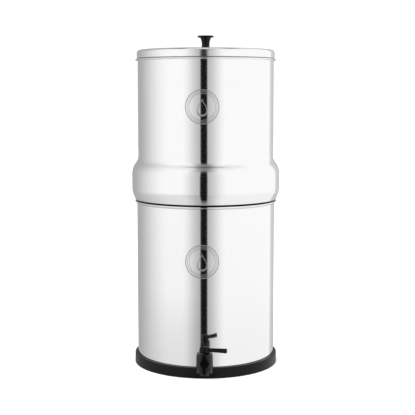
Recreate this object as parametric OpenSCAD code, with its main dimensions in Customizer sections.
// Gravity water filter: two stacked steel chambers under a lift-off lid. Four ceramic
// candles drip from the upper chamber into the lower one, which a quarter-turn tap empties.
// Millimetres, +Z up. The tap faces -Y. Its lever rests near +X, shut, and turns to -Y to open.
// The origin is the centre of the base ring's underside, on the table.

/* [Chambers] */
// Outside diameter of the lower chamber
lower_d = 216; // [200:0.2:240]
// Height of the lower chamber's rolled rim above the table
lower_rim_z = 259.5; // [230:0.5:300]
// Height of the upper chamber's rim above the lower chamber's rim
upper_h = 229.6; // [215:0.2:260]
// How far the upper chamber's wall stands inside the lower chamber's wall line
upper_inset = 2.2; // [1:0.1:4]
// Sheet thickness of both chambers
wall = 0.8; // [0.6:0.1:1]
// Outside radius of the lower chamber's rolled rim
curl_r = 1.9; // [1.6:0.1:2.4]
// Height of the lower chamber's bottom panel above its foot
foot_recess = 3; // [2:0.5:8]
// Depth of the folded hem at the upper chamber's rim
hem_h = 8; // [4:0.5:12]

/* [Bulge] */
// How far the bulge stands out from the lower chamber's wall
bulge_out = 7.6; // [6:0.1:9]
// Angle of the flare under the bulge, from the vertical
flare_angle = 21; // [18:1:28]
// Bend radius between the flare and the bulge's upright band
flare_bend = 27; // [18:1:32]
// Height above the lower rim at which the shoulder starts to turn in
shoulder_start = 41; // [36:0.5:60]
// Height of the shoulder, from the bulge's band to the upper wall
shoulder_h = 28.5; // [22:0.5:36]
// Share of the shoulder that is the outer, rounded bend
shoulder_share = 0.6; // [0.5:0.05:0.8]
// Bend radius of the lip that rests on the lower rim
lip_bend = 1.5; // [1.2:0.1:2]
// How far the lip's flat underside reaches past the middle of the lower rim
lip_out = 0.3; // [0.1:0.1:1.2]

/* [Neck of the upper chamber] */
// How far the upper chamber's floor lies below the lower rim
nest_depth = 25; // [15:1:35]
// Radial gap between the neck and the lower chamber
nest_gap = 0.8; // [0.5:0.1:1]
// Bend radius at the edge of the upper chamber's floor
floor_bend = 4; // [2:0.5:8]

/* [Base ring] */
// Height of the rubber base ring
ring_h = 16.2; // [12:0.2:19]
// Thickness of the ring outside the chamber
ring_t = 4.6; // [3:0.1:6]
// Thickness of the ring's lip under the chamber
ring_lip_t = 4; // [3:0.5:6]
// How far the lip reaches in under the chamber
ring_lip_w = 11; // [6:1:24]

/* [Lid] */
// Sheet thickness of the lid
lid_wall = 0.6; // [0.5:0.1:0.8]
// Radial gap between the lid's skirt and the upper chamber
lid_gap = 0.6; // [0.4:0.1:0.8]
// Height of the lid from the underside of its rolled edge to its top corner
lid_skirt_h = 16.6; // [12:0.1:24]
// Outside radius of the lid's rolled edge
lid_curl_r = 1.4; // [1:0.1:1.8]
// Corner radius between the lid's skirt and its top
lid_corner = 5; // [2.8:0.1:6]
// Rise of the lid's crowned top
lid_crown = 2.5; // [1:0.1:6]

/* [Lid knob] */
// Diameter of the knob's disc
knob_d = 25; // [20:0.5:36]
// Height of the knob
knob_h = 19.7; // [15:0.1:30]
// Thickness of the disc's edge
knob_edge = 2.9; // [1.5:0.1:4]
// Diameter of the knob's stalk
knob_neck_d = 12.1; // [11:0.1:16]
// Bend radius of the stalk where it widens to the disc
knob_flare = 20; // [12:1:30]
// Thread diameter of the knob's screw
knob_screw_d = 3; // [2.5:0.5:5]

/* [Filter candles] */
// Diameter of the circle that the four candles stand on
candle_circle_d = 100; // [88:1:110]
// Diameter of a ceramic candle
candle_d = 50; // [40:1:54]
// Height of the ceramic, from its cap to the top of its dome
candle_h = 178; // [120:1:184]
// Wall of the ceramic
candle_wall = 7; // [5:0.5:9]
// Gap between the ceramic and its carbon core
core_gap = 1.5; // [1:0.5:3]
// Height of the carbon core
core_h = 148; // [90:1:152]
// Bore of the carbon core
core_bore_d = 8; // [6:0.5:12]
// Height of the plastic cap that holds the ceramic
cap_h = 14; // [10:0.5:20]
// Wall of that cap
cap_wall = 1.6; // [1.2:0.1:2.5]
// Diameter of a candle's threaded stem
stem_d = 10; // [8:0.5:12]
// Bore of the stem, which the filtered water leaves by
stem_bore_d = 5; // [4:0.5:6]
// Length of stem below the upper chamber's floor
stem_l = 22; // [14:1:30]
// Diameter of the sealing washer under a cap
seal_d = 24; // [18:1:32]
// Thickness of that washer
seal_t = 2; // [1:0.5:3]
// Diameter of the wing nut's hub
wing_hub_d = 17; // [15:0.5:20]
// Height of the wing nut's hub
wing_hub_h = 8; // [6:0.5:12]
// Span of the wing nut across its wings
wing_span = 38; // [32:1:46]

/* [Tap body] */
// Height of the tap's inlet above the table
tap_z = 34.1; // [33:0.1:50]
// Distance from the chamber's wall to the barrel's axis
tap_reach = 35.7; // [34:0.1:55]
// Diameter of the barrel
barrel_d = 24.8; // [22:0.2:26]
// Height of the barrel above the inlet's axis
barrel_above = 13.5; // [13.5:0.1:18]
// Depth of the barrel below the inlet's axis
barrel_below = 15.3; // [14.8:0.1:18]
// Outside diameter of the spout
spout_d = 12.4; // [11:0.2:14]
// Length of the spout below the barrel
spout_l = 4.5; // [3:0.1:12]
// Bore of the waterway
waterway_d = 8.4; // [7.4:0.1:8.8]
// Diameter of the threaded tail that goes through the wall
tail_d = 16; // [14:0.5:18]
// Length of the tail inside the wall
tail_l = 18; // [15:0.5:26]
// Diameter of the tap's flange and washers
flange_d = 21; // [20.5:0.5:28]
// Thickness of the flange
flange_t = 3; // [2:0.5:5]
// Thickness of each rubber washer at the wall
washer_t = 2; // [1.5:0.5:3]
// Width across the flats of the nut inside the chamber
tap_nut_af = 26; // [24:0.5:30]
// Thickness of that nut
tap_nut_t = 6; // [4:0.5:8]
// Width across the flats of the boss on the barrel's front
boss_af = 12.8; // [10:0.1:14]
// How far the boss stands from the barrel's axis
boss_reach = 13.8; // [13.4:0.1:16]

/* [Tap plug and lever] */
// Bore of the barrel, which the plug turns in
plug_bore_d = 15; // [15:0.1:15.6]
// Radial running fit of the plug in its bore
plug_fit = 0.08; // [0.05:0.01:0.1]
// Diameter of the plug's neck
neck_d = 10; // [9.6:0.1:10]
// Width of the square end that drives the plug
drive_w = 6.4; // [5.6:0.1:6.6]
// Section diameter of the plug's two O-rings
o_ring_t = 1.8; // [1.6:0.1:1.9]
// Widest diameter of the lever's hub
hub_d = 16; // [15.6:0.1:18]
// Height of the lever's hub
hub_h = 9; // [8:0.1:12]
// Gap between the barrel and the hub
hub_gap = 0.7; // [0.5:0.1:1.5]
// Length of the lever from the hub's axis to its tip
lever_l = 33.5; // [24:0.1:50]
// Thickness of the lever where it leaves the hub
lever_root_d = 5.7; // [5:0.1:6.4]
// Thickness of the lever near its tip
lever_tip_d = 7.1; // [5:0.1:9]
// How far the lever turns between its stops, in degrees
lever_turn = 90; // [60:1:120]
// How far the lever rests in front of its shut stop, which is at +X, in degrees
lever_rest = 13; // [0:1:20]

/* [Hidden] */
// Air gap between resting faces of pieces that lift apart
seat_gap = 0.3;
// Radial gap between fastened or glued pieces
fit_gap = 0.05;
// Radial gap of a plain clearance hole
hole_gap = 0.3;
// Gap between the base ring and the chamber it grips
ring_fit = 0.1;
// Overshoot of a cut past the face that it opens
cut = 1;
candle_n = 4;
$fn = 96;
// Sides of the circles that shape a washer to the chamber's wall
smooth = 1440;

// Lower chamber
lower_r = lower_d / 2;
lower_in_r = lower_r - wall;
foot_z = ring_lip_t;
panel_z = foot_z + foot_recess;
rim_c = [lower_in_r + curl_r, lower_rim_z - curl_r];
curl_end = -110;

// Upper chamber
upper_r = lower_r - upper_inset;
upper_rim_z = lower_rim_z + upper_h;
neck_r = lower_in_r - nest_gap;
floor_z = lower_rim_z - nest_depth;
seat_z = lower_rim_z + seat_gap;
seat_r = rim_c.x - neck_r;
lip_c = [rim_c.x + lip_out, seat_z + lip_bend];
bulge_r = lower_r + bulge_out;
// The straight flare touches the lip's bend and the bulge's bend, which sets their heights
flare_n = [cos(flare_angle), -sin(flare_angle)];
flare_z = ((bulge_r - flare_bend) * flare_n.x - lip_c * flare_n - lip_bend + flare_bend)
    / sin(flare_angle);
shoulder_z = lower_rim_z + shoulder_start;
shoulder_turn = 2 * atan((bulge_r - upper_r) / shoulder_h);
shoulder_sum = shoulder_h / sin(shoulder_turn);
shoulder_bend = shoulder_sum * shoulder_share;
waist_bend = shoulder_sum - shoulder_bend;

// Lid
lid_r = upper_r + lid_gap + lid_wall;
lid_in_r = lid_r - lid_wall;
lid_flat_r = lid_r - lid_corner;
hem_x = upper_r - wall - lid_flat_r;
hem_reach = lid_corner - lid_wall - wall - seat_gap;
lid_c = [lid_flat_r, upper_rim_z - wall - sqrt(hem_reach * hem_reach - hem_x * hem_x)];
crown_k = (lid_flat_r * lid_flat_r + lid_crown * lid_crown) / (2 * lid_crown);
crown_r = crown_k + lid_corner;
lid_top_z = lid_c.y + lid_corner + lid_crown;
crown_edge = atan2(crown_k - lid_crown, lid_flat_r);
lid_curl_c = [lid_in_r + lid_curl_r, lid_c.y + lid_corner - lid_skirt_h + lid_curl_r];
lid_curl_end = 470;

// Knob and its screw
knob_screw_r = knob_screw_d / 2;
knob_bore_h = 12;
knob_flare_h = 10;
knob_edge_round = 0.5;
knob_washer_r = 1.5 * knob_screw_d;
knob_washer_t = 1;
knob_head_r = knob_screw_d;
knob_head_h = 0.65 * knob_screw_d;
lid_under_z = lid_top_z - lid_wall - fit_gap;

// Candles
candle_r = candle_d / 2;
stem_r = stem_d / 2;
cap_z = floor_z + wall + seal_t;
cap_floor = 3;
ceramic_z = cap_z + cap_floor;
socket_r = candle_r + fit_gap;
core_r = candle_r - candle_wall - core_gap;
wing_t = 3;
wing_round = 5;
wing_drop = 1;

// Tap
tap_r = lower_r + tap_reach;
barrel_r = barrel_d / 2;
barrel_z = tap_z - barrel_below;
barrel_top = tap_z + barrel_above;
barrel_round = 1;
barrel_floor_t = 3;
barrel_floor_z = barrel_z + barrel_floor_t;
waterway_r = waterway_d / 2;
tail_r = tail_d / 2;
tap_hole_r = tail_r + hole_gap;
flange_r = flange_d / 2;
plug_bore_r = plug_bore_d / 2;
boss_chamfer = 0.8;
boss_rise = 1;
// How far the chamber's inner face curves away across the washer
washer_sag = lower_in_r - sqrt(lower_in_r * lower_in_r - flange_r * flange_r);
wall_y = tap_reach;
nut_y = wall_y + wall + washer_sag + washer_t;

// Plug, from its foot up
plug_r = plug_bore_r - plug_fit;
plug_z = barrel_floor_z + seat_gap;
plug_rise = 9;
plug_top = tap_z + plug_rise;
o_ring_rise = 7.2;
o_ring_r = o_ring_t / 2;
o_ring_c = plug_r - fit_gap - o_ring_r;
groove_r = o_ring_c - o_ring_r - fit_gap;
groove_slack = 0.2;
groove_h = o_ring_t + groove_slack;
// The plug's hollow is a little wider than the bore in the spout, which it opens onto
cavity_r = waterway_r + hole_gap;
cavity_roof = 0.8;
cavity_top = tap_z + waterway_r + cavity_roof;
plug_neck_r = neck_d / 2;
stop_ring_z = plug_top + seat_gap;
stop_ring_t = 1.2;
stop_ring_bite = 1;
stop_ring_split = 2;
stop_in_r = plug_neck_r + 0.4;
stop_out_r = plug_bore_r - hole_gap;
stop_slack = 2;
lug_half = 15;
lug_gap = 0.5;

// Lever
hub_z = barrel_top + hub_gap;
hub_r = hub_d / 2;
hub_top = hub_z + hub_h;
hub_foot_in = 0.9;
hub_foot_h = 1.4;
hub_band_h = 2.2;
hub_brow_in = 0.9;
hub_brow_h = 1;
hub_crown_in = 1.4;
bar_rise = 4.3;
bar_round = 0.8;
drive_cover = 3;
drive_top = hub_top - drive_cover;
lever_screw_r = 1.5;
lever_head_r = 2.9;
lever_head_h = 1.8;
lever_screw_l = 10;

// Cross slots of the screws
slot_share = 0.6;
slot_w = 0.7;
slot_depth = 0.9;

steel = "silver";
black = "#1c1c1e";
rubber = "#26262a";
ceramic = "ivory";

// Points of an arc from angle a0 to a1. skip = 1 leaves out the first point.
function arc(c, r, a0, a1, n, skip = 0) =
    [for (i = [skip:n]) let (a = a0 + (a1 - a0) * i / n) c + r * [cos(a), sin(a)]];
function reversed(v) = [for (i = [len(v) - 1:-1:0]) v[i]];

// The upper chamber's sheet from the floor's centre to its rim, t inside its outer face
function upper_line(t) = concat(
    [[0, floor_z + t]],
    arc([neck_r - floor_bend, floor_z + floor_bend], floor_bend - t, -90, 0, 6),
    arc([rim_c.x, seat_z - seat_r], seat_r + t, 180, 90, 6),
    arc(lip_c, lip_bend - t, -90, -flare_angle, 5),
    arc([bulge_r - flare_bend, flare_z], flare_bend - t, -flare_angle, 0, 5),
    arc([bulge_r - shoulder_bend, shoulder_z], shoulder_bend - t, 0, shoulder_turn, 8),
    arc([upper_r + waist_bend, shoulder_z + shoulder_h], waist_bend + t,
        180 + shoulder_turn, 180, 5, 1)
);

// The lid's sheet from its centre to the foot of its skirt, t inside its outer face
function lid_line(t) = concat(
    arc([0, lid_top_z - crown_r], crown_r - t, 90, crown_edge, 8),
    arc(lid_c, lid_corner - t, crown_edge, 0, 6, 1)
);

module tube(r_out, r_in, h) {
    difference() {
        cylinder(r = r_out, h = h);
        translate([0, 0, -cut]) cylinder(r = r_in, h = h + 2 * cut);
    }
}

// A cylinder along +Y at the inlet's height, between two distances from the barrel's axis
module along_y(r, y0, y1) {
    translate([0, y0, tap_z]) rotate([-90, 0, 0]) cylinder(r = r, h = y1 - y0);
}

// The two slots of a cross-head screw, in a head of radius r
module cross_slot(r) {
    for (a = [0, 90])
        rotate([0, 0, a]) cube([slot_share * 2 * r, slot_w, 2 * slot_depth], center = true);
}

module at_tap() {
    translate([0, -tap_r, 0]) children();
}

// The handle's pieces are drawn with the lever at its shut stop, and rest in front of it
module at_handle() {
    at_tap() rotate([0, 0, -lever_rest]) children();
}

module at_candle(i) {
    rotate([0, 0, 360 / candle_n * (i - 0.5)]) translate([candle_circle_d / 2, 0, 0]) children();
}

module base_ring() {
    r = lower_r + ring_fit + ring_t;
    in_r = lower_r - ring_lip_w;
    top_round = 1.5;
    foot_round = 0.8;
    color(rubber) rotate_extrude() polygon(concat(
        [[in_r, 0]],
        arc([r - foot_round, foot_round], foot_round, -90, 0, 3),
        arc([r - top_round, ring_h - top_round], top_round, 0, 90, 5),
        [[lower_r + ring_fit, ring_h], [lower_r + ring_fit, foot_z], [in_r, foot_z]]
    ));
}

module lower_chamber() {
    color(steel) difference() {
        rotate_extrude() polygon(concat(
            [[0, panel_z], [lower_in_r - wall, panel_z], [lower_in_r - wall, foot_z], [lower_r, foot_z]],
            arc(rim_c, curl_r - wall, 180, curl_end, 14),
            arc(rim_c, curl_r, curl_end, 180, 18),
            [[lower_in_r, panel_z + wall], [0, panel_z + wall]]
        ));
        at_tap() along_y(tap_hole_r, tap_reach - cut, tap_reach + wall + washer_sag + cut);
    }
}

module upper_chamber() {
    color(steel) difference() {
        rotate_extrude() polygon(concat(
            upper_line(0),
            arc([upper_r - wall, upper_rim_z - wall], wall, 0, 180, 6),
            [[upper_r - 2 * wall, upper_rim_z - hem_h], [upper_r - wall, upper_rim_z - hem_h]],
            reversed(upper_line(wall))
        ));
        for (i = [1:candle_n])
            at_candle(i) translate([0, 0, floor_z - cut])
                cylinder(r = stem_r + hole_gap, h = wall + 2 * cut);
    }
}

module lid() {
    color(steel) difference() {
        rotate_extrude() polygon(concat(
            lid_line(0),
            arc(lid_curl_c, lid_curl_r - lid_wall, 180, lid_curl_end, 12),
            arc(lid_curl_c, lid_curl_r, lid_curl_end, 180, 16),
            reversed(lid_line(lid_wall))
        ));
        translate([0, 0, lid_under_z - cut])
            cylinder(r = knob_screw_r + hole_gap, h = lid_wall + 2 * cut);
    }
}

module lid_knob() {
    r = knob_d / 2;
    neck = knob_neck_d / 2;
    edge_z = knob_h - knob_edge;
    flare_end = 180 - asin(knob_flare_h / knob_flare);
    color(black) translate([0, 0, lid_top_z]) difference() {
        rotate_extrude() polygon(concat(
            [[0, 0], [neck, 0]],
            arc([neck + knob_flare, edge_z - knob_flare_h], knob_flare, 180, flare_end, 6),
            [[r - knob_edge_round, edge_z], [r, edge_z + knob_edge_round]],
            [[r, knob_h - knob_edge_round], [r - knob_edge_round, knob_h], [0, knob_h]]
        ));
        translate([0, 0, -cut]) cylinder(r = knob_screw_r + fit_gap, h = knob_bore_h + cut);
    }
}

module knob_washer() {
    color(rubber) translate([0, 0, lid_under_z - knob_washer_t])
        tube(knob_washer_r, knob_screw_r + hole_gap, knob_washer_t);
}

module knob_screw() {
    head_z = lid_under_z - knob_washer_t - knob_head_h;
    color(steel) translate([0, 0, head_z]) difference() {
        union() {
            cylinder(r = knob_head_r, h = knob_head_h);
            cylinder(r = knob_screw_r, h = lid_top_z - head_z + knob_bore_h - cut);
        }
        cross_slot(knob_head_r);
    }
}

module candle_shell(i) {
    in_r = candle_r - candle_wall;
    dome_z = candle_h - candle_r;
    color(ceramic) at_candle(i) translate([0, 0, ceramic_z]) rotate_extrude() polygon(concat(
        [[in_r, 0], [candle_r, 0]],
        arc([0, dome_z], candle_r, 0, 90, 10),
        arc([0, dome_z], in_r, 90, 0, 8)
    ));
}

module carbon_core(i) {
    color("#2b2b2b") at_candle(i) translate([0, 0, ceramic_z]) difference() {
        cylinder(r = core_r, h = core_h);
        translate([0, 0, -cut]) cylinder(r = core_bore_d / 2, h = core_h - core_r + cut);
    }
}

module candle_cap(i) {
    color("white") at_candle(i) difference() {
        union() {
            translate([0, 0, cap_z]) cylinder(r = socket_r + cap_wall, h = cap_h);
            translate([0, 0, floor_z - stem_l]) cylinder(r = stem_r, h = stem_l + wall + seal_t + cut);
        }
        translate([0, 0, ceramic_z]) cylinder(r = socket_r, h = cap_h);
        translate([0, 0, floor_z - stem_l - cut])
            cylinder(r = stem_bore_d / 2, h = stem_l + cap_z - floor_z + cap_floor + 2 * cut);
    }
}

module candle_seal(i) {
    color(rubber) at_candle(i) translate([0, 0, floor_z + wall])
        tube(seal_d / 2, stem_r + fit_gap, seal_t);
}

module wing_nut(i) {
    reach = wing_span / 2;
    root = stem_r + wing_t / 2;
    color("white") at_candle(i) translate([0, 0, floor_z - wing_hub_h]) difference() {
        union() {
            cylinder(r = wing_hub_d / 2, h = wing_hub_h);
            for (side = [0, 180])
                rotate([90, 0, side]) linear_extrude(wing_t, center = true) union() {
                    translate([root, -wing_round / 2])
                        square([reach - wing_round - root, wing_hub_h - wing_drop]);
                    translate([reach - wing_round, -wing_drop]) circle(r = wing_round);
                }
        }
        translate([0, 0, -cut]) cylinder(r = stem_r + fit_gap, h = wing_hub_h + 2 * cut);
    }
}

module tap_body() {
    color(black) at_tap() difference() {
        union() {
            rotate_extrude() polygon([
                [0, barrel_z - spout_l],
                [spout_d / 2, barrel_z - spout_l],
                [spout_d / 2, barrel_z],
                [barrel_r - barrel_round / 2, barrel_z],
                [barrel_r, barrel_z + barrel_round / 2],
                [barrel_r, barrel_top - barrel_round],
                [barrel_r - barrel_round, barrel_top],
                [0, barrel_top]
            ]);
            along_y(tail_r, plug_bore_r, wall_y + wall + washer_sag + tail_l);
            along_y(flange_r, wall_y - washer_t - flange_t, wall_y - washer_t);
            hex_boss();
        }
        translate([0, 0, barrel_floor_z]) cylinder(r = plug_bore_r, h = barrel_top);
        translate([0, 0, barrel_z - spout_l - cut]) cylinder(r = waterway_r, h = barrel_top);
        along_y(waterway_r, 0, wall_y + wall + washer_sag + tail_l + cut);
        translate([0, 0, stop_ring_z - fit_gap])
            cylinder(r = plug_bore_r + stop_ring_bite, h = stop_ring_t + 2 * fit_gap);
    }
}

// A six-sided boss with its corners to the left and right and a bevelled face
module hex_boss() {
    r = boss_af / 2 / cos(30);
    translate([0, 0, tap_z + boss_rise]) rotate([90, 0, 0]) intersection() {
        cylinder(r = r, h = boss_reach, $fn = 6);
        rotate_extrude() polygon([
            [0, plug_bore_r], [r + cut, plug_bore_r], [r + cut, boss_reach - boss_chamfer - cut],
            [r - boss_chamfer, boss_reach], [0, boss_reach]
        ]);
    }
}

module tap_washer_outer() {
    color(rubber) at_tap() difference() {
        along_y(flange_r, wall_y - washer_t, wall_y + washer_sag + cut);
        along_y(tap_hole_r, 0, wall_y + washer_sag + 2 * cut);
        translate([0, tap_r, 0]) cylinder(r = lower_r, h = 2 * tap_z, $fn = smooth);
    }
}

module tap_washer_inner() {
    color(rubber) difference() {
        intersection() {
            at_tap() along_y(flange_r, wall_y, nut_y);
            cylinder(r = lower_in_r, h = 2 * tap_z, $fn = smooth);
        }
        at_tap() along_y(tap_hole_r, 0, nut_y + cut);
    }
}

module tap_nut() {
    color(black) at_tap() difference() {
        translate([0, nut_y, tap_z]) rotate([-90, 0, 0])
            cylinder(r = tap_nut_af / 2 / cos(30), h = tap_nut_t, $fn = 6);
        along_y(tail_r + fit_gap, nut_y - cut, nut_y + tap_nut_t + cut);
    }
}

module o_ring_groove(z) {
    translate([0, 0, z - groove_h / 2]) tube(plug_r + cut, groove_r, groove_h);
}

module tap_plug() {
    color(rubber) at_handle() difference() {
        union() {
            translate([0, 0, plug_z]) cylinder(r = plug_r, h = plug_top - plug_z);
            translate([0, 0, plug_z]) cylinder(r = plug_neck_r, h = hub_z - plug_z);
            translate([-drive_w / 2, -drive_w / 2, hub_z - cut])
                cube([drive_w, drive_w, drive_top - hub_z + cut]);
        }
        translate([0, 0, plug_z - cut]) cylinder(r = cavity_r, h = cavity_top - plug_z + cut);
        translate([0, 0, tap_z]) rotate([0, -90, 0]) cylinder(r = waterway_r, h = plug_bore_r);
        o_ring_groove(tap_z + o_ring_rise);
        o_ring_groove(tap_z - o_ring_rise);
        translate([0, 0, drive_top - lever_screw_l])
            cylinder(r = lever_screw_r + fit_gap, h = lever_screw_l + cut);
    }
}

module plug_o_ring(z) {
    color("#303034") at_tap() translate([0, 0, z]) rotate_extrude()
        translate([o_ring_c, 0]) circle(r = o_ring_r, $fn = 32);
}

// A split ring in the barrel's groove keeps the plug in, and its raised arc stops the lever
module plug_stop_ring() {
    free = lever_turn + 2 * (lug_half + stop_slack);
    color("white") at_tap() translate([0, 0, stop_ring_z]) {
        difference() {
            tube(plug_bore_r + stop_ring_bite - fit_gap, stop_in_r, stop_ring_t);
            rotate([0, 0, -lever_turn / 2]) translate([0, -stop_ring_split / 2, -cut])
                cube([barrel_r, stop_ring_split, stop_ring_t + 2 * cut]);
        }
        rotate([0, 0, lug_half + stop_slack]) rotate_extrude(angle = 360 - free)
            translate([stop_in_r + lug_gap / 2, stop_ring_t / 2])
                square([
                    stop_out_r - stop_in_r - lug_gap / 2,
                    barrel_top - seat_gap - stop_ring_z - stop_ring_t / 2
                ]);
    }
}

module tap_lever() {
    root = lever_root_d / 2;
    tip = lever_tip_d / 2;
    lug_z = stop_ring_z + stop_ring_t + lug_gap;
    color(black) at_handle() difference() {
        union() {
            rotate_extrude() polygon([
                [0, hub_z],
                [hub_r - hub_foot_in, hub_z],
                [hub_r, hub_z + hub_foot_h],
                [hub_r, hub_z + hub_foot_h + hub_band_h],
                [hub_r - hub_brow_in, hub_top - hub_brow_h],
                [hub_r - hub_crown_in, hub_top],
                [0, hub_top]
            ]);
            translate([0, 0, hub_z + bar_rise]) rotate([0, 90, 0]) rotate_extrude()
                polygon([
                    [0, 0], [root, 0], [tip, lever_l - bar_round],
                    [tip - bar_round, lever_l], [0, lever_l]
                ]);
            rotate([0, 0, -lug_half]) rotate_extrude(angle = 2 * lug_half)
                translate([stop_in_r + lug_gap, lug_z])
                    square([stop_out_r - stop_in_r - lug_gap, hub_z - lug_z + cut]);
        }
        translate([-drive_w / 2 - fit_gap, -drive_w / 2 - fit_gap, hub_z - cut])
            cube([drive_w + 2 * fit_gap, drive_w + 2 * fit_gap, drive_top - hub_z + cut + fit_gap]);
        translate([0, 0, drive_top]) cylinder(r = lever_screw_r + hole_gap, h = hub_h);
        translate([0, 0, hub_top - lever_head_h - fit_gap])
            cylinder(r = lever_head_r + hole_gap, h = hub_h);
    }
}

module lever_screw() {
    head_z = hub_top - lever_head_h - fit_gap;
    color(steel) at_handle() difference() {
        union() {
            translate([0, 0, head_z]) cylinder(r = lever_head_r, h = lever_head_h);
            translate([0, 0, drive_top - lever_screw_l + cut])
                cylinder(r = lever_screw_r, h = head_z - drive_top + lever_screw_l);
        }
        translate([0, 0, head_z + lever_head_h]) cross_slot(lever_head_r);
    }
}

base_ring();
lower_chamber();
upper_chamber();
lid();
lid_knob();
knob_washer();
knob_screw();
for (i = [1:candle_n]) {
    candle_shell(i);
    carbon_core(i);
    candle_cap(i);
    candle_seal(i);
    wing_nut(i);
}
tap_body();
tap_washer_outer();
tap_washer_inner();
tap_nut();
tap_plug();
plug_o_ring(tap_z + o_ring_rise);  // plug_o_ring_upper
plug_o_ring(tap_z - o_ring_rise);  // plug_o_ring_lower
plug_stop_ring();
tap_lever();
lever_screw();
